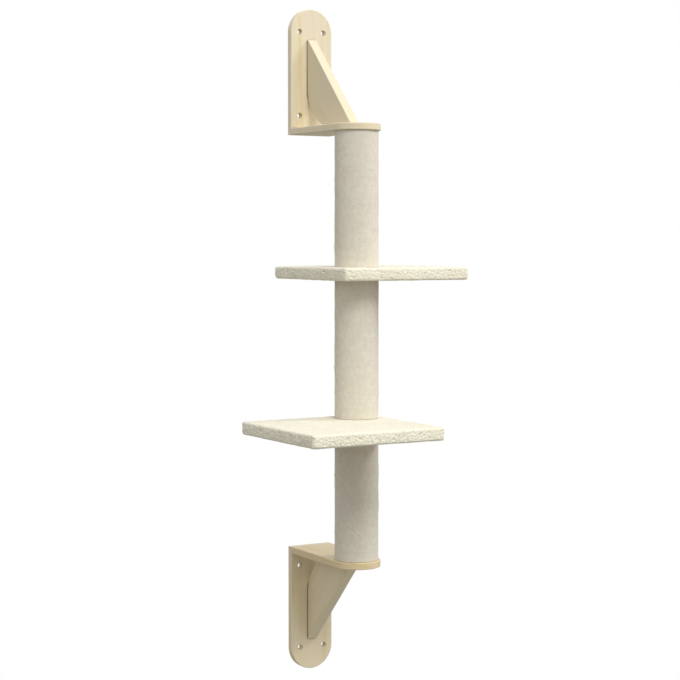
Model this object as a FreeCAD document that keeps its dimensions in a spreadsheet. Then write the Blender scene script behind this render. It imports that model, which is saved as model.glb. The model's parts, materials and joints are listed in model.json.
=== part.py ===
import FreeCAD, Part
import Sketcher
import os

# Wall mounted cat tree, in millimetres.
# Two mirrored wooden brackets hold a vertical post between them. The post is three cardboard
# tubes in woven sisal, and two plush covered platforms are clamped between the tubes.
# X runs along the wall, to the right for someone facing it. Y runs into the wall, and the wall is
# the plane Y = 0. Z is up. The origin is the centre of the upper plate's four wall holes.

doc = FreeCAD.newDocument("WallMountedCatTree")

# ---------------------------------------------------------------- driving dimensions

sizes = doc.addObject("Spreadsheet::Sheet", "Sizes")

DRIVING_SIZES = [
    ("board_width", 76, "width of the wall plates and the shelves"),
    ("board_thickness", 11, "thickness of the wall plates and the shelves"),
    ("board_edge_radius", 1.5, "rounding of the plates' and shelves' long edges"),
    ("plate_height", 205, "wall plate, from its flat end to the top of its arch"),
    ("wall_hole_diameter", 9, "hole for a wall screw"),
    ("wall_hole_spacing_across", 44, "distance between the two columns of wall holes"),
    ("wall_hole_spacing_up", 136, "distance between the two rows of wall holes"),
    ("wall_hole_end_distance", 32, "from the plate's flat end to the first row of holes"),
    ("post_from_wall", 155, "from the wall to the post's axis"),
    ("gusset_thickness", 16, "thickness of the triangular brace"),
    ("gusset_height", 144, "height of the brace along the wall plate"),
    ("gusset_toe_gap", 6.5, "from the brace's toe on the shelf to the post's axis"),
    ("gusset_corner_radius", 74, "rounding of the brace's square corner"),
    ("gusset_nose", 2.5, "blunt end at each tip of the brace"),
    ("gusset_edge_chamfer", 0.8, "broken edge along the brace's slope"),
    ("screw_diameter", 4, "shank of a bracket screw"),
    ("screw_length", 35, "bracket screw, from its head's face to its point"),
    ("screw_head_diameter", 8, "countersunk head of a bracket screw"),
    ("screw_head_height", 2.4, "cone of a bracket screw's head"),
    ("screw_point_length", 5, "tapered point of a bracket screw"),
    ("screw_recess_length", 4.4, "cross recess in the screw's head, tip to tip"),
    ("screw_recess_width", 1, "width of the cross recess"),
    ("screw_recess_depth", 1.6, "depth of the cross recess"),
    ("shelf_screw_spacing", 44, "distance between the two screws into the shelf's end"),
    ("gusset_screw_low", 84, "first screw into the brace, above the shelf"),
    ("gusset_screw_high", 111, "second screw into the brace, above the shelf"),
    ("dowel_diameter", 6, "dowel between the brace and the shelf"),
    ("dowel_depth_in_shelf", 8, "length of a dowel inside the shelf"),
    ("dowel_depth_in_gusset", 20, "length of a dowel inside the brace"),
    ("dowel_near", 84, "first dowel, from the wall plate's face"),
    ("dowel_far", 110, "second dowel, from the wall plate's face"),
    ("tube_diameter", 65, "outside of the cardboard tubes"),
    ("tube_wall", 4, "wall of the cardboard tubes"),
    ("sisal_thickness", 1.9, "woven sisal round the tubes"),
    ("fit_gap", 0.1, "radial gap in each round fit"),
    ("upper_post_length", 213.5, "upper tube, shelf to platform"),
    ("middle_post_length", 220, "middle tube, platform to platform"),
    ("lower_post_length", 206.5, "lower tube, platform to shelf"),
    ("plug_thickness", 18, "wooden plug in each end of a tube"),
    ("insert_diameter", 10, "threaded insert in each plug"),
    ("insert_length", 14, "length of a threaded insert"),
    ("thread_diameter", 6, "thread of the studs and the shelf bolts"),
    ("thread_engagement", 12, "depth of a stud or bolt inside an insert"),
    ("thread_chamfer", 0.8, "chamfer at the end of a stud"),
    ("bolt_head_diameter", 12, "countersunk head of a shelf bolt"),
    ("bolt_head_height", 3.3, "cone of a shelf bolt's head"),
    ("bolt_socket_size", 4, "hexagon socket, across its flats"),
    ("bolt_socket_depth", 2.2, "depth of the hexagon socket"),
    ("passage_gap", 0.4, "radial gap where a stud or bolt passes through a board"),
    ("platform_board_thickness", 15, "board inside each platform"),
    ("plush_thickness", 2.5, "plush round each platform's board"),
    ("plush_corner_radius", 6, "rounding of a platform's upright corners"),
    ("plush_edge_radius", 5, "rounding along a platform's top and bottom"),
    ("plush_fold_width", 22, "plush turned under the board's edge"),
    ("plush_notch_gap", 0.5, "between the turned under plush and the post below it"),
    ("platform_width", 226, "each platform along the wall"),
    ("platform_depth", 226, "each platform out from the wall"),
    ("upper_platform_left", 64, "from the post's axis to the upper platform's left edge"),
    ("upper_platform_gap", 3, "between the upper platform and the wall"),
    ("lower_platform_right", 44, "from the post's axis to the lower platform's right edge"),
    ("lower_platform_back", 41, "from the post's axis to the lower platform's back edge"),
    ("staple_crown", 12, "staple, across its two legs"),
    ("staple_wire", 1, "thickness of a staple's wire"),
    ("staple_leg", 9, "length of a staple's legs"),
    ("staple_spacing", 70, "between the staples along one side"),
    ("staple_first", 43, "from a platform's front left corner to the first staple of a side"),
]

for row, (alias, size, meaning) in enumerate(DRIVING_SIZES, start=1):
    sizes.set("A%d" % row, meaning)
    sizes.set("B%d" % row, str(size))
    sizes.setAlias("B%d" % row, alias)
doc.recompute()

# Staples along one side of a platform, and along a side where the post below takes a staple's place.
STAPLES_PER_SIDE = 3
STAPLES_BESIDE_POST = 2


def number(expression):
    """The value of an expression of the sheet, as a plain number."""
    return float(sizes.evalExpression(expression))


# ---------------------------------------------------------------- places that pieces share

HALF_WIDTH = "Sizes.board_width / 2"
PLATE_FACE = "-Sizes.board_thickness"
POST_Y = "-Sizes.post_from_wall"
PLATFORM_THICKNESS = "(Sizes.platform_board_thickness + 2 * Sizes.plush_thickness)"

# Levels of the stack, from the upper bracket down.
UPPER_SEAT = "(-(Sizes.wall_hole_end_distance + Sizes.wall_hole_spacing_up / 2))"
UPPER_PLATFORM_TOP = "(%s - Sizes.upper_post_length)" % UPPER_SEAT
UPPER_BOARD_TOP = "(%s - Sizes.plush_thickness)" % UPPER_PLATFORM_TOP
UPPER_BOARD_BOTTOM = "(%s - Sizes.platform_board_thickness)" % UPPER_BOARD_TOP
LOWER_PLATFORM_TOP = "(%s - Sizes.middle_post_length)" % UPPER_BOARD_BOTTOM
LOWER_BOARD_TOP = "(%s - Sizes.plush_thickness)" % LOWER_PLATFORM_TOP
LOWER_BOARD_BOTTOM = "(%s - Sizes.platform_board_thickness)" % LOWER_BOARD_TOP
LOWER_SEAT = "(%s - Sizes.lower_post_length)" % LOWER_BOARD_BOTTOM

# The left and back edges of the platforms.
PLATFORM_LEFT = {
    "upper": "-Sizes.upper_platform_left",
    "lower": "(Sizes.lower_platform_right - Sizes.platform_width)",
}
PLATFORM_BACK = {
    "upper": "-Sizes.upper_platform_gap",
    "lower": "(Sizes.lower_platform_back - Sizes.post_from_wall)",
}

# Rotations that turn a piece made along +Z.
UPRIGHT = FreeCAD.Rotation()
UPSIDE_DOWN = FreeCAD.Rotation(FreeCAD.Vector(0, 1, 0), 180)
OUT_OF_WALL = FreeCAD.Rotation(FreeCAD.Vector(1, 0, 0), 90)


# ---------------------------------------------------------------- helpers

def place(piece, x, y, z, turn=UPRIGHT):
    """Put a piece's own origin at a point given by three expressions."""
    piece.Placement = FreeCAD.Placement(FreeCAD.Vector(number(x), number(y), number(z)), turn)
    piece.setExpression("Placement.Base.x", x)
    piece.setExpression("Placement.Base.y", y)
    piece.setExpression("Placement.Base.z", z)
    return piece


def solid(kind, name, **bound):
    """A primitive or a feature whose properties are bound to expressions."""
    piece = doc.addObject(kind, name)
    for prop, expression in bound.items():
        piece.setExpression(prop, expression)
    return piece


def cut(name, base, tool):
    """A piece that is base with tool removed from it."""
    piece = doc.addObject("Part::Cut", name)
    piece.Base = base
    piece.Tool = tool
    return piece


def fuse(name, *members):
    """One solid of several that touch."""
    piece = doc.addObject("Part::MultiFuse", name)
    piece.Shapes = list(members)
    return piece


def group(name, members):
    """Separate solids that share one name."""
    piece = doc.addObject("Part::Compound", name)
    piece.Links = list(members)
    return piece


def new_body(name):
    return doc.addObject("PartDesign::Body", name)


def new_sketch(body, role, name):
    """A sketch on one of the body's own origin planes."""
    plane = [item for item in body.Origin.OriginFeatures if item.Role == role][0]
    sketch = body.newObject("Sketcher::SketchObject", name)
    sketch.AttachmentSupport = [(plane, "")]
    sketch.MapMode = "FlatFace"
    return sketch


def pin(sketch, geometry, point, axis, expression):
    """Hold one coordinate of a point at an expression's value."""
    if expression == "0":
        crossed_axis = -2 if axis == "X" else -1
        sketch.addConstraint(Sketcher.Constraint("PointOnObject", geometry, point, crossed_axis))
        return
    distance = Sketcher.Constraint("Distance" + axis, -1, 1, geometry, point, number(expression))
    index = sketch.addConstraint(distance)
    sketch.setExpression("Constraints[%d]" % index, expression)


def draw_outline(sketch, corners):
    """Close a loop through the corners. Each corner is its x and y, and a third item makes the
    stretch that follows it an arc: the arc's centre, and the axis along which it is pinned."""
    points = [FreeCAD.Vector(number(c[0]), number(c[1]), 0) for c in corners]
    edges = []
    for index, corner in enumerate(corners):
        start = points[index]
        end = points[(index + 1) % len(points)]
        if len(corner) == 2:
            geometry = sketch.addGeometry(Part.LineSegment(start, end), False)
            edges.append((geometry, 1, 2))
            continue
        centre_x, centre_y, pinned = corner[2]
        centre = FreeCAD.Vector(number(centre_x), number(centre_y), 0)
        radius = (start - centre).Length
        circle = Part.Circle(centre, FreeCAD.Vector(0, 0, 1), radius)
        arc = Part.ArcOfCircle(circle, circle.parameter(end), circle.parameter(start))
        geometry = sketch.addGeometry(arc, False)
        edges.append((geometry, 2, 1))
        pin(sketch, geometry, 3, pinned, centre_x if pinned == "X" else centre_y)
    for index, (geometry, first, last) in enumerate(edges):
        following, following_first, _ = edges[(index + 1) % len(edges)]
        join = Sketcher.Constraint("Coincident", geometry, last, following, following_first)
        sketch.addConstraint(join)
        pin(sketch, geometry, first, "X", corners[index][0])
        pin(sketch, geometry, first, "Y", corners[index][1])


def draw_circle(sketch, x, y, diameter):
    """A circle at a point, with its diameter bound."""
    centre = FreeCAD.Vector(number(x), number(y), 0)
    circle = Part.Circle(centre, FreeCAD.Vector(0, 0, 1), number(diameter) / 2)
    geometry = sketch.addGeometry(circle, False)
    pin(sketch, geometry, 3, "X", x)
    pin(sketch, geometry, 3, "Y", y)
    index = sketch.addConstraint(Sketcher.Constraint("Diameter", geometry, number(diameter)))
    sketch.setExpression("Constraints[%d]" % index, diameter)


def pad(body, sketch, length, both_ways=False):
    """Extrude a sketch along its normal, or half each way."""
    feature = body.newObject("PartDesign::Pad", body.Name + "Pad")
    feature.Profile = sketch
    feature.setExpression("Length", length)
    if both_ways:
        feature.Midplane = True
    body.Tip = feature
    doc.recompute()
    return feature


def pocket_through(body, sketch):
    """Cut a sketch through the whole body, to both sides of its plane."""
    feature = body.newObject("PartDesign::Pocket", body.Name + "Pocket")
    feature.Profile = sketch
    feature.Type = "ThroughAll"
    feature.Midplane = True
    body.Tip = feature
    doc.recompute()
    return feature


def dress(body, kind, name, prop, size, wanted):
    """Round or break the edges of the body's tip for which wanted is true."""
    base = body.Tip
    edges = ["Edge%d" % (i + 1) for i, edge in enumerate(base.Shape.Edges) if wanted(edge.BoundBox)]
    feature = body.newObject(kind, name)
    feature.Base = (base, edges)
    feature.setExpression(prop, size)
    body.Tip = feature
    doc.recompute()
    return feature


def same(first, second):
    return abs(first - second) < 1e-4


# ---------------------------------------------------------------- wall plate

def wall_plate(name):
    """A board with one arched end and four holes, standing on its flat end at Z = 0."""
    body = new_body(name)
    shoulder = "Sizes.plate_height - Sizes.board_width / 2"
    outline = new_sketch(body, "XZ_Plane", name + "Outline")
    draw_outline(outline, [
        ("-" + HALF_WIDTH, "0"),
        ("-" + HALF_WIDTH, shoulder, ("0", shoulder, "Y")),
        (HALF_WIDTH, shoulder),
        (HALF_WIDTH, "0"),
    ])
    pad(body, outline, "Sizes.board_thickness")
    front = -number("Sizes.board_thickness")
    dress(body, "PartDesign::Fillet", name + "Rounding", "Radius", "Sizes.board_edge_radius",
          lambda box: same(box.YMin, front) and same(box.YMax, front) and box.ZMax > 1e-4)
    holes = new_sketch(body, "XZ_Plane", name + "Holes")
    column = "Sizes.wall_hole_spacing_across / 2"
    first_row = "Sizes.wall_hole_end_distance"
    for x in ("-" + column, column):
        for z in (first_row, first_row + " + Sizes.wall_hole_spacing_up"):
            draw_circle(holes, x, z, "Sizes.wall_hole_diameter")
    pocket_through(body, holes)
    return body


# ---------------------------------------------------------------- shelf

def shelf(name):
    """A board out from the plate's face at Z = 0 upwards, with a half round tip on the post's axis."""
    body = new_body(name)
    outline = new_sketch(body, "XY_Plane", name + "Outline")
    draw_outline(outline, [
        (HALF_WIDTH, PLATE_FACE),
        (HALF_WIDTH, POST_Y, ("0", POST_Y, "Y")),
        ("-" + HALF_WIDTH, POST_Y),
        ("-" + HALF_WIDTH, PLATE_FACE),
    ])
    pad(body, outline, "Sizes.board_thickness")
    back = -number("Sizes.board_thickness")
    dress(body, "PartDesign::Fillet", name + "Rounding", "Radius", "Sizes.board_edge_radius",
          lambda box: same(box.ZMin, box.ZMax) and not same(box.YMin, back))
    return body


# ---------------------------------------------------------------- gusset

def gusset(name):
    """A triangular brace in the corner over the shelf, with its square corner rounded away."""
    body = new_body(name)
    foot = "Sizes.board_thickness"
    top = foot + " + Sizes.gusset_height"
    toe = "-(Sizes.post_from_wall - Sizes.gusset_toe_gap)"
    outline = new_sketch(body, "YZ_Plane", name + "Outline")
    arc_y = "-(Sizes.board_thickness + Sizes.gusset_corner_radius)"
    arc_z = foot + " + Sizes.gusset_corner_radius"
    draw_outline(outline, [
        (toe, foot),
        (toe, foot + " + Sizes.gusset_nose"),
        ("-(Sizes.board_thickness + Sizes.gusset_nose)", top),
        (PLATE_FACE, top),
        (PLATE_FACE, arc_z, (arc_y, arc_z, "X")),
        (arc_y, foot),
    ])
    pad(body, outline, "Sizes.gusset_thickness", both_ways=True)
    half = number("Sizes.gusset_thickness / 2")
    slope_height = number("Sizes.gusset_height - Sizes.gusset_nose")
    dress(body, "PartDesign::Chamfer", name + "BrokenEdge", "Size", "Sizes.gusset_edge_chamfer",
          lambda box: same(abs(box.XMin), half) and same(box.XMin, box.XMax)
          and same(box.ZLength, slope_height))
    return body


# ---------------------------------------------------------------- bracket hardware

def wood_screw(name, x, y, z):
    """A countersunk screw whose head's face is at the point and whose shank runs out of the wall,
    and before it the same without its recess, which the boards are cut with."""
    cone = solid("Part::Cone", name + "Head", Radius1="Sizes.screw_head_diameter / 2",
                 Radius2="Sizes.screw_diameter / 2", Height="Sizes.screw_head_height")
    shank_length = "Sizes.screw_length - Sizes.screw_head_height - Sizes.screw_point_length"
    shank = solid("Part::Cylinder", name + "Shank", Radius="Sizes.screw_diameter / 2",
                  Height=shank_length)
    point = solid("Part::Cone", name + "Point", Radius1="Sizes.screw_diameter / 2",
                  Radius2="Sizes.screw_diameter / 16", Height="Sizes.screw_point_length")
    place(shank, "0", "0", "Sizes.screw_head_height")
    place(point, "0", "0", "Sizes.screw_length - Sizes.screw_point_length")
    longer = "Sizes.screw_recess_length"
    shorter = "Sizes.screw_recess_width"
    arms = []
    for arm, length, width in (("A", longer, shorter), ("B", shorter, longer)):
        slot = solid("Part::Box", name + "Slot" + arm, Length=length, Width=width,
                     Height="Sizes.screw_recess_depth")
        arms.append(place(slot, "-%s / 2" % length, "-%s / 2" % width, "0"))
    filled = fuse(name + "Blank", cone, shank, point)
    place(filled, x, y, z, OUT_OF_WALL)
    recess = fuse(name + "Recess", *arms)
    place(recess, x, y, z, OUT_OF_WALL)
    return filled, cut(name, filled, recess)


def dowel(name, y, z_low, length):
    peg = solid("Part::Cylinder", name, Radius="Sizes.dowel_diameter / 2", Height=length)
    return place(peg, "0", y, z_low)


def shelf_bolt(name, level, turn):
    """A countersunk bolt whose head's face is at the level, and before it the space that the shelf
    leaves for it. Made head down, along +Z."""
    head = solid("Part::Cone", name + "Head", Radius1="Sizes.bolt_head_diameter / 2",
                 Radius2="Sizes.thread_diameter / 2", Height="Sizes.bolt_head_height")
    shank_length = "Sizes.board_thickness + Sizes.thread_engagement - Sizes.bolt_head_height"
    shank = solid("Part::Cylinder", name + "Shank", Radius="Sizes.thread_diameter / 2",
                  Height=shank_length)
    place(shank, "0", "0", "Sizes.bolt_head_height")
    socket = solid("Part::Prism", name + "Socket", Circumradius="Sizes.bolt_socket_size / sqrt(3)",
                   Height="Sizes.bolt_socket_depth")
    place(socket, "0", POST_Y, level, turn)
    filled = fuse(name + "Blank", head, shank)
    place(filled, "0", POST_Y, level, turn)
    passage = solid("Part::Cylinder", name + "Passage",
                    Radius="Sizes.thread_diameter / 2 + Sizes.passage_gap",
                    Height="Sizes.board_thickness + Sizes.passage_gap")
    place(passage, "0", POST_Y, level, turn)
    space = fuse(name + "Space", filled, passage)
    return space, cut(name, filled, socket)


# ---------------------------------------------------------------- bracket

def bracket(side, seat, sign, turn):
    """The pieces of one bracket. seat is the level of its flat end, where the post meets the shelf,
    and sign says whether the wall plate rises or hangs from there."""
    plate_blank = wall_plate(side + "_wall_plate_blank")
    shelf_blank = shelf(side + "_shelf_blank")
    gusset_blank = gusset(side + "_gusset_blank")
    for blank in (plate_blank, shelf_blank, gusset_blank):
        place(blank, "0", "0", seat, turn)

    def level(height):
        return "%s %s (%s)" % (seat, sign, height)

    half_spacing = "Sizes.shelf_screw_spacing / 2"
    mid_shelf = level("Sizes.board_thickness / 2")
    shelf_screws = [wood_screw(side + "_screw_left", "-" + half_spacing, "0", mid_shelf),
                    wood_screw(side + "_screw_right", half_spacing, "0", mid_shelf)]
    gusset_screws = [wood_screw(side + "_screw_" + end, "0", "0",
                                level("Sizes.board_thickness + Sizes.gusset_screw_" + end))
                     for end in ("low", "high")]

    peg_length = "Sizes.dowel_depth_in_shelf + Sizes.dowel_depth_in_gusset"
    peg_foot = "Sizes.board_thickness - Sizes.dowel_depth_in_shelf"
    peg_low = level(peg_foot) if sign == "+" else level(peg_foot + " + " + peg_length)
    pegs = [dowel(side + "_dowel_" + end, "-(Sizes.board_thickness + Sizes.dowel_%s)" % end,
                  peg_low, peg_length)
            for end in ("near", "far")]

    bolt_turn = UPSIDE_DOWN if sign == "+" else UPRIGHT
    bolt_space, bolt = shelf_bolt(side + "_shelf_bolt", level("Sizes.board_thickness"), bolt_turn)

    plate_holes = group(side + "_plate_holes", [s[0] for s in shelf_screws + gusset_screws])
    shelf_holes = group(side + "_shelf_holes", [s[0] for s in shelf_screws] + pegs + [bolt_space])
    gusset_holes = group(side + "_gusset_holes", [s[0] for s in gusset_screws] + pegs)
    return {
        side + "_wall_plate": cut(side + "_wall_plate", plate_blank, plate_holes),
        side + "_shelf": cut(side + "_shelf", shelf_blank, shelf_holes),
        side + "_gusset": cut(side + "_gusset", gusset_blank, gusset_holes),
        side + "_bracket_screws": group(side + "_bracket_screws",
                                        [s[1] for s in shelf_screws + gusset_screws]),
        side + "_bracket_dowels": group(side + "_bracket_dowels", pegs),
        side + "_shelf_bolt": bolt,
    }


# ---------------------------------------------------------------- post

def ring(name, outer, inner, length, level):
    """A round tube on the post's axis, standing on a level."""
    body = new_body(name)
    section = new_sketch(body, "XY_Plane", name + "Section")
    draw_circle(section, "0", "0", outer)
    draw_circle(section, "0", "0", inner)
    pad(body, section, length)
    return place(body, "0", POST_Y, level)


TUBE_BORE = "Sizes.tube_diameter - 2 * Sizes.tube_wall"
SISAL_INSIDE = "Sizes.tube_diameter + 2 * Sizes.fit_gap"
SISAL_OUTSIDE = SISAL_INSIDE + " + 2 * Sizes.sisal_thickness"


def post_section(which, bottom, top):
    """One length of the post between two levels, and its two threaded inserts."""
    length = "Sizes.%s_post_length" % which
    pieces = {}
    pieces[which + "_post_tube"] = ring(which + "_post_tube", "Sizes.tube_diameter", TUBE_BORE,
                                        length, bottom)
    pieces[which + "_post_sisal"] = ring(which + "_post_sisal", SISAL_OUTSIDE, SISAL_INSIDE,
                                         length, bottom)
    inserts = []
    ends = (("bottom", bottom, bottom),
            ("top", top + " - Sizes.plug_thickness", top + " - Sizes.insert_length"))
    for end, plug_level, insert_level in ends:
        name = "%s_post_%s_plug" % (which, end)
        pieces[name] = ring(name, TUBE_BORE + " - 2 * Sizes.fit_gap",
                            "Sizes.insert_diameter + 2 * Sizes.fit_gap",
                            "Sizes.plug_thickness", plug_level)
        inserts.append(ring("%s_post_%s_insert" % (which, end), "Sizes.insert_diameter",
                            "Sizes.thread_diameter + 2 * Sizes.fit_gap",
                            "Sizes.insert_length", insert_level))
    return pieces, inserts


# ---------------------------------------------------------------- platforms

def slab(name, which, inset, thickness, corner_radius, level):
    """A board with rounded upright corners, inset from the platform's edge on all four sides."""
    left = "%s + %s" % (PLATFORM_LEFT[which], inset)
    right = "%s + Sizes.platform_width - %s" % (PLATFORM_LEFT[which], inset)
    back = "%s - %s" % (PLATFORM_BACK[which], inset)
    front = "%s - Sizes.platform_depth + %s" % (PLATFORM_BACK[which], inset)
    body = new_body(name)
    outline = new_sketch(body, "XY_Plane", name + "Outline")
    draw_outline(outline, [(left, front), (right, front), (right, back), (left, back)])
    pad(body, outline, thickness)
    dress(body, "PartDesign::Fillet", name + "Corners", "Radius", corner_radius,
          lambda box: same(box.XMin, box.XMax) and same(box.YMin, box.YMax))
    return place(body, "0", "0", level)


def stud(name, level, length):
    """A threaded stud on the post's axis with both ends chamfered."""
    body = new_body(name)
    section = new_sketch(body, "XY_Plane", name + "Section")
    draw_circle(section, "0", "0", "Sizes.thread_diameter")
    pad(body, section, length)
    dress(body, "PartDesign::Chamfer", name + "Ends", "Size", "Sizes.thread_chamfer",
          lambda box: same(box.ZMin, box.ZMax))
    return place(body, "0", POST_Y, level)


def staple(name, x, y, level, along):
    """A staple driven upwards from the level, with its crown along X or Y."""
    crown_length, crown_width = "Sizes.staple_crown", "Sizes.staple_wire"
    reach = "(Sizes.staple_crown - Sizes.staple_wire)"
    crown_x, crown_y = "%s - %s / 2" % (x, crown_length), "%s - %s / 2" % (y, crown_width)
    leg_x, leg_y = "%s + %s" % (crown_x, reach), crown_y
    if along == "Y":
        crown_length, crown_width = crown_width, crown_length
        crown_x, crown_y = "%s - %s / 2" % (x, crown_length), "%s - %s / 2" % (y, crown_width)
        leg_x, leg_y = crown_x, "%s + %s" % (crown_y, reach)
    crown = solid("Part::Box", name + "Crown", Length=crown_length, Width=crown_width,
                  Height="Sizes.staple_wire")
    place(crown, crown_x, crown_y, level)
    legs = []
    for end, at_x, at_y in (("A", crown_x, crown_y), ("B", leg_x, leg_y)):
        leg = solid("Part::Box", name + "Leg" + end, Length="Sizes.staple_wire",
                    Width="Sizes.staple_wire", Height="Sizes.staple_leg")
        legs.append(place(leg, at_x, at_y, level))
    return fuse(name, crown, *legs)


def staples(which, level, sides_beside_post):
    """Rows of staples through the turned under plush, along all four sides of a platform."""
    inset = "Sizes.plush_fold_width / 2"
    left = PLATFORM_LEFT[which]
    back = PLATFORM_BACK[which]
    front = back + " - Sizes.platform_depth"
    members = []
    for side in ("left", "right", "back", "front"):
        count = STAPLES_BESIDE_POST if side in sides_beside_post else STAPLES_PER_SIDE
        for index in range(count):
            step = "Sizes.staple_first + %d * Sizes.staple_spacing" % index
            x, y, along = {
                "left": (left + " + " + inset, front + " + " + step, "Y"),
                "right": (left + " + Sizes.platform_width - " + inset, front + " + " + step, "Y"),
                "back": (left + " + " + step, back + " - " + inset, "X"),
                "front": (left + " + " + step, front + " + " + inset, "X"),
            }[side]
            name = "%s_staple_%s_%d" % (which, side, index + 1)
            members.append(staple(name, x, y, level, along))
    return group(which + "_platform_staples", members)


def platform(which, board_bottom, sides_beside_post=()):
    """The board, plush cover, staples and stud of one platform. Along sides_beside_post the post
    below takes the place of the last staple."""
    underside = board_bottom + " - Sizes.plush_thickness"
    board_blank = slab(which + "_platform_board_blank", which, "Sizes.plush_thickness",
                       "Sizes.platform_board_thickness",
                       "Sizes.plush_corner_radius - Sizes.plush_thickness", board_bottom)
    cover_blank = slab(which + "_platform_cover_blank", which, "0", PLATFORM_THICKNESS,
                       "Sizes.plush_corner_radius", underside)
    dress(cover_blank, "PartDesign::Fillet", which + "_platform_cover_edges", "Radius",
          "Sizes.plush_edge_radius", lambda box: same(box.ZMin, box.ZMax))
    wires = staples(which, underside, sides_beside_post)
    passage = solid("Part::Cylinder", which + "_platform_passage",
                    Radius="Sizes.thread_diameter / 2 + Sizes.passage_gap",
                    Height=PLATFORM_THICKNESS)
    place(passage, "0", POST_Y, underside)
    window = solid("Part::Box", which + "_platform_window",
                   Length="Sizes.platform_width - 2 * Sizes.plush_fold_width",
                   Width="Sizes.platform_depth - 2 * Sizes.plush_fold_width",
                   Height="Sizes.plush_thickness")
    place(window, PLATFORM_LEFT[which] + " + Sizes.plush_fold_width",
          PLATFORM_BACK[which] + " - Sizes.platform_depth + Sizes.plush_fold_width", underside)
    notch = solid("Part::Cylinder", which + "_platform_notch",
                  Radius="(%s) / 2 + Sizes.plush_notch_gap" % SISAL_OUTSIDE,
                  Height="Sizes.plush_thickness")
    place(notch, "0", POST_Y, underside)
    board_holes = group(which + "_platform_board_holes", [wires, passage])
    cover_space = fuse(which + "_platform_cover_space", board_blank, window, notch, passage)
    cover_shell = cut(which + "_platform_cover_shell", cover_blank, cover_space)
    return {
        which + "_platform_board": cut(which + "_platform_board", board_blank, board_holes),
        which + "_platform_cover": cut(which + "_platform_cover", cover_shell, wires),
        which + "_platform_staples": wires,
        which + "_platform_stud": stud(
            which + "_platform_stud", board_bottom + " - Sizes.thread_engagement",
            "Sizes.platform_board_thickness + Sizes.plush_thickness"
            " + 2 * Sizes.thread_engagement"),
    }


# ---------------------------------------------------------------- the whole tree

pieces = {}
pieces.update(bracket("upper", UPPER_SEAT, "+", UPRIGHT))
pieces.update(bracket("lower", LOWER_SEAT, "-", UPSIDE_DOWN))
pieces.update(platform("upper", UPPER_BOARD_BOTTOM))
pieces.update(platform("lower", LOWER_BOARD_BOTTOM, ("right", "back")))

all_inserts = []
for which, bottom, top in (("upper", UPPER_PLATFORM_TOP, UPPER_SEAT),
                           ("middle", LOWER_PLATFORM_TOP, UPPER_BOARD_BOTTOM),
                           ("lower", LOWER_SEAT, LOWER_BOARD_BOTTOM)):
    section_pieces, section_inserts = post_section(which, bottom, top)
    pieces.update(section_pieces)
    all_inserts += section_inserts
pieces["post_inserts"] = group("post_inserts", all_inserts)

doc.recompute()

# ---------------------------------------------------------------- checks and files

for item in doc.Objects:
    if "Invalid" in item.State or "Error" in item.State:
        raise RuntimeError("%s failed to build: %s" % (item.Label, item.State))
for name, piece in pieces.items():
    if piece.Shape.isNull() or not piece.Shape.isValid() or not piece.Shape.Solids:
        raise RuntimeError("%s has no valid solid" % name)

os.makedirs("parts", exist_ok=True)
for name, piece in pieces.items():
    piece.Label = name
    piece.Shape.exportStep("parts/%s.step" % name)
    box = piece.Shape.BoundBox
    print("%-26s %2d solids %10.1f mm3  x %7.1f %7.1f  y %7.1f %7.1f  z %7.1f %7.1f"
          % (name, len(piece.Shape.Solids), piece.Shape.Volume,
             box.XMin, box.XMax, box.YMin, box.YMax, box.ZMin, box.ZMax))
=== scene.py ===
import json
import math

import bpy
import numpy as np
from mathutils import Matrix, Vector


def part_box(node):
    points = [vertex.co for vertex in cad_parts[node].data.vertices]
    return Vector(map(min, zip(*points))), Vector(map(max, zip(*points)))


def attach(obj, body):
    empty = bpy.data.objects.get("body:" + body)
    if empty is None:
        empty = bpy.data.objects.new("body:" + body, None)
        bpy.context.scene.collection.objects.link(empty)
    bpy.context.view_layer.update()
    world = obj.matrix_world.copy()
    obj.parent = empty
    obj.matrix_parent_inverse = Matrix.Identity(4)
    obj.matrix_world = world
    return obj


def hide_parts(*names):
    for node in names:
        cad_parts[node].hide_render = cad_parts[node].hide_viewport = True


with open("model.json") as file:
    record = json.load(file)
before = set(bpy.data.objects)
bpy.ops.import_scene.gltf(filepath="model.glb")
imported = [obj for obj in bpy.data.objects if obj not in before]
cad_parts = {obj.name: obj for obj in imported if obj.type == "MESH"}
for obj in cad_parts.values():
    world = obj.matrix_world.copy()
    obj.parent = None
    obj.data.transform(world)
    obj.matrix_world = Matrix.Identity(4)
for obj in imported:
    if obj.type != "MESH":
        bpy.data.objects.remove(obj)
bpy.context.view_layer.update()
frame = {"nodes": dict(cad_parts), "record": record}

# A slim climbing post for cats, held between two pine brackets on a wall: cardboard tubes in
# woven sisal, with two plush covered platforms clamped between them. Nothing on it moves, so
# each cloth piece made here rides on the one body. The brackets, boards, tubes, plugs and hardware
# keep their own meshes and get a finish. The woven sisal and the plush are made here as cloth.
# The plush is stretched thin over a flat board, and the sisal is glued round a tube, so
# neither hangs or puffs up, and both are worked out as surfaces with no simulation.

MM = 0.001
BODY = "root"

# ---------------------------------------------------------------------------- sizes

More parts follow.
